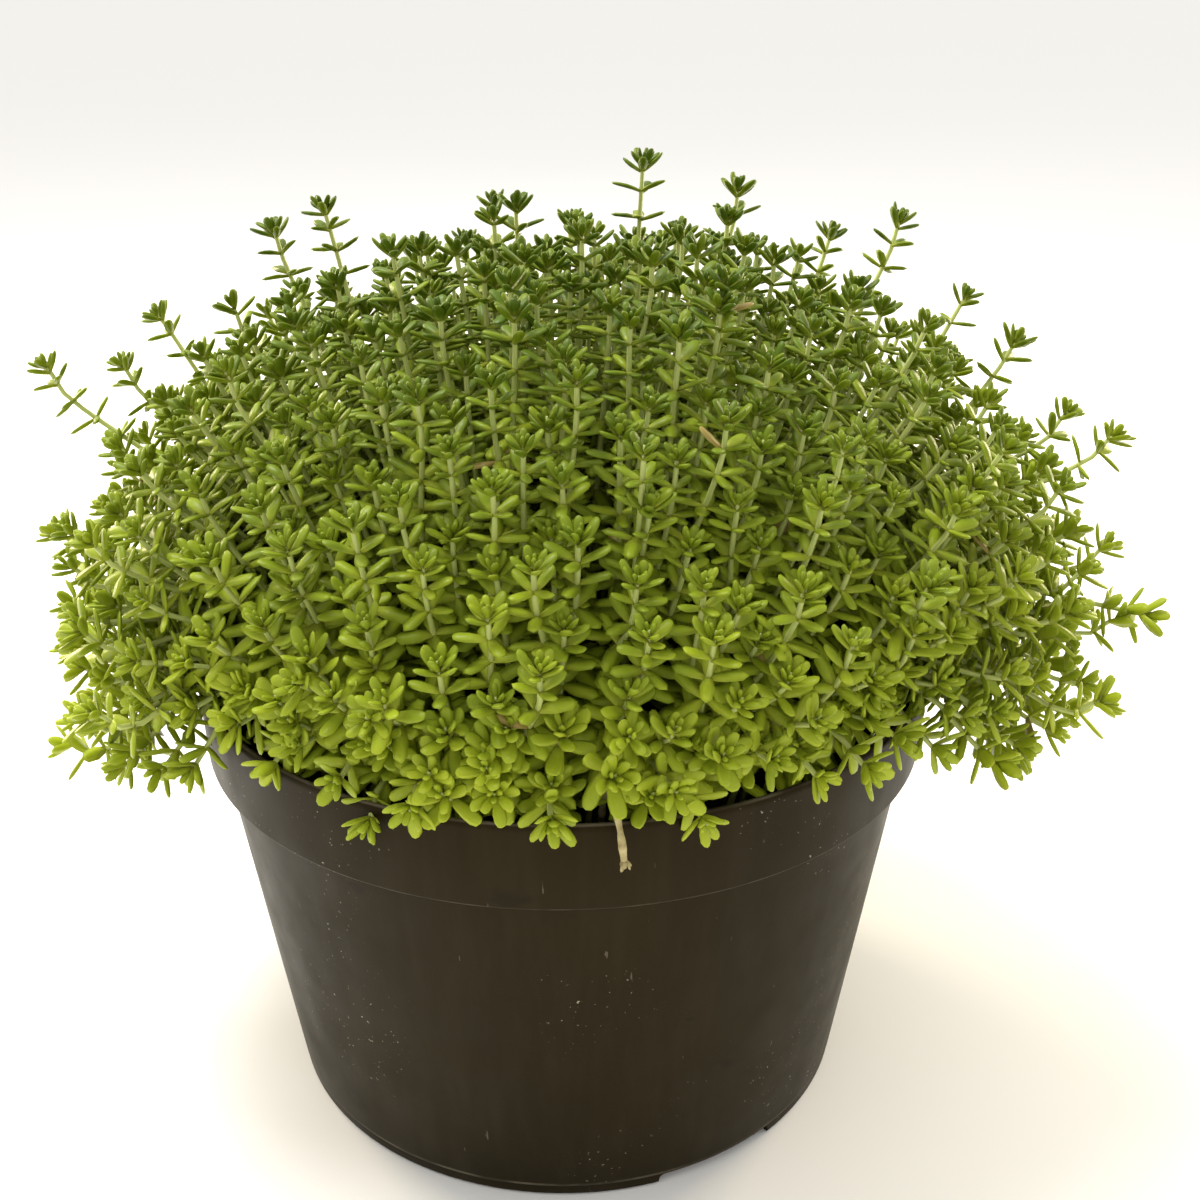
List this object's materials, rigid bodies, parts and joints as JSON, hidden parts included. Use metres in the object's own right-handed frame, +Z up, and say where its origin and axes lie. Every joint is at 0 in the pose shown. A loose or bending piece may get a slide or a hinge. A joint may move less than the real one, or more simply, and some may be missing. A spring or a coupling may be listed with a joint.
{
  "type": "potted stonecrop plant",
  "caption": "Nursery pot filled with soil and a dense dome of upright leafy stonecrop stems that lean out over the rim.",
  "frame": {"origin": "on the surface the pot stands on, under the middle of the pot's base", "axes": "+Z up, -Y towards the front of the pot as pictured, +X to the right"},
  "size_m": [0.2264, 0.1914, 0.1904],
  "materials": {
    "pot_plastic": "dark brown-black moulded plastic with a satin sheen and pale scuffs",
    "potting_soil": "dark damp potting mix, matt and crumbly",
    "leaf_green": "fleshy green leaves with a soft waxy gloss, yellower towards the leaf bases",
    "dry_stem": "dry straw-brown dead stem"
  },
  "bodies": {
    "root": {"dry_stub": "dry_stem", "leafy_stems_01": "leaf_green", "leafy_stems_02": "leaf_green", "leafy_stems_03": "leaf_green", "leafy_stems_04": "leaf_green", "leafy_stems_05": "leaf_green", "leafy_stems_06": "leaf_green", "leafy_stems_07": "leaf_green", "leafy_stems_08": "leaf_green", "leafy_stems_09": "leaf_green", "leafy_stems_10": "leaf_green", "leafy_stems_11": "leaf_green", "leafy_stems_12": "leaf_green", "leafy_stems_13": "leaf_green", "leafy_stems_14": "leaf_green", "leafy_stems_15": "leaf_green", "leafy_stems_16": "leaf_green", "leafy_stems_17": "leaf_green", "leafy_stems_18": "leaf_green", "leafy_stems_19": "leaf_green", "leafy_stems_20": "leaf_green", "leafy_stems_21": "leaf_green", "leafy_stems_22": "leaf_green", "leafy_stems_23": "leaf_green", "leafy_stems_24": "leaf_green", "leafy_stems_25": "leaf_green", "leafy_stems_26": "leaf_green", "leafy_stems_27": "leaf_green", "leafy_stems_28": "leaf_green", "leafy_stems_29": "leaf_green", "leafy_stems_30": "leaf_green", "leafy_stems_31": "leaf_green", "leafy_stems_32": "leaf_green", "leafy_stems_33": "leaf_green", "leafy_stems_34": "leaf_green", "leafy_stems_35": "leaf_green", "leafy_stems_36": "leaf_green", "leafy_stems_37": "leaf_green", "leafy_stems_38": "leaf_green", "leafy_stems_39": "leaf_green", "leafy_stems_40": "leaf_green", "leafy_stems_41": "leaf_green", "leafy_stems_42": "leaf_green", "leafy_stems_43": "leaf_green", "leafy_stems_44": "leaf_green", "leafy_stems_45": "leaf_green", "leafy_stems_46": "leaf_green", "leafy_stems_47": "leaf_green", "leafy_stems_48": "leaf_green", "leafy_stems_49": "leaf_green", "leafy_stems_50": "leaf_green", "leafy_stems_51": "leaf_green", "leafy_stems_52": "leaf_green", "leafy_stems_53": "leaf_green", "leafy_stems_54": "leaf_green", "pot": "pot_plastic", "soil": "potting_soil"}
  },
  "joints": []
}
